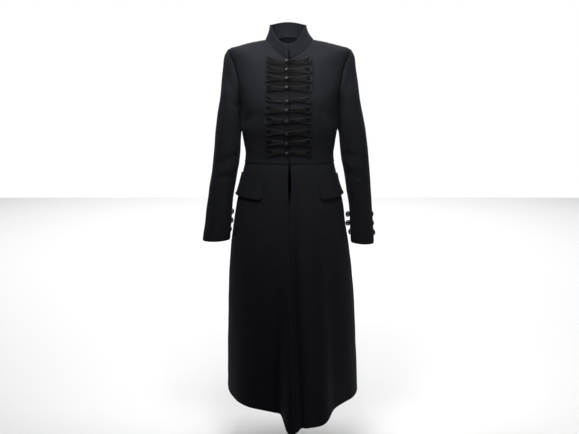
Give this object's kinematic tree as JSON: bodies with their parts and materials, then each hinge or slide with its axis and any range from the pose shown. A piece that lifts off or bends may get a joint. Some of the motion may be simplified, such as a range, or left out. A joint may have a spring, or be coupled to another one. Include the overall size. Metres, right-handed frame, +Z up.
{
  "type": "long coat",
  "caption": "Long dark wool coat with a stand collar, braided frog fastenings down the front, slanted pocket flaps and a long flared skirt, in its worn shape",
  "frame": {"origin": "the middle of the neck's base, level with the inner ends of the shoulder seams, where the wearer's shoulders and neck hold the coat up", "axes": "+Z up the wearer, +X to the wearer's left, the front faces -Y"},
  "size_m": [0.5861, 0.5378, 1.2911],
  "materials": {
    "wool": "matte, softly brushed woollen cloth, almost black",
    "braid": "soft silky twisted cord, black, slightly lighter than the cloth",
    "button": "small dark domed button with a soft shine"
  },
  "bodies": {
    "root": {"bodice_back_left": "wool", "bodice_back_right": "wool", "bodice_front_left": "wool", "bodice_front_right": "wool", "button_01": "button", "button_02": "button", "button_03": "button", "button_04": "button", "button_05": "button", "button_06": "button", "button_07": "button", "button_08": "button", "button_09": "button", "button_10": "button", "cuff_button_left_1": "button", "cuff_button_left_2": "button", "cuff_button_left_3": "button", "cuff_button_right_1": "button", "cuff_button_right_2": "button", "cuff_button_right_3": "button", "cuff_frog_left_1": "braid", "cuff_frog_left_2": "braid", "cuff_frog_left_3": "braid", "cuff_frog_right_1": "braid", "cuff_frog_right_2": "braid", "cuff_frog_right_3": "braid", "frog_left_01": "braid", "frog_left_02": "braid", "frog_left_03": "braid", "frog_left_04": "braid", "frog_left_05": "braid", "frog_left_06": "braid", "frog_left_07": "braid", "frog_left_08": "braid", "frog_left_09": "braid", "frog_left_10": "braid", "frog_right_01": "braid", "frog_right_02": "braid", "frog_right_03": "braid", "frog_right_04": "braid", "frog_right_05": "braid", "frog_right_06": "braid", "frog_right_07": "braid", "frog_right_08": "braid", "frog_right_09": "braid", "frog_right_10": "braid", "pocket_flap_left": "wool", "pocket_flap_right": "wool", "skirt_back_left": "wool", "skirt_back_right": "wool", "skirt_front_left": "wool", "skirt_front_right": "wool", "sleeve_under_left": "wool", "sleeve_under_right": "wool", "sleeve_upper_left": "wool", "sleeve_upper_right": "wool", "stand_collar": "wool"}
  },
  "joints": []
}
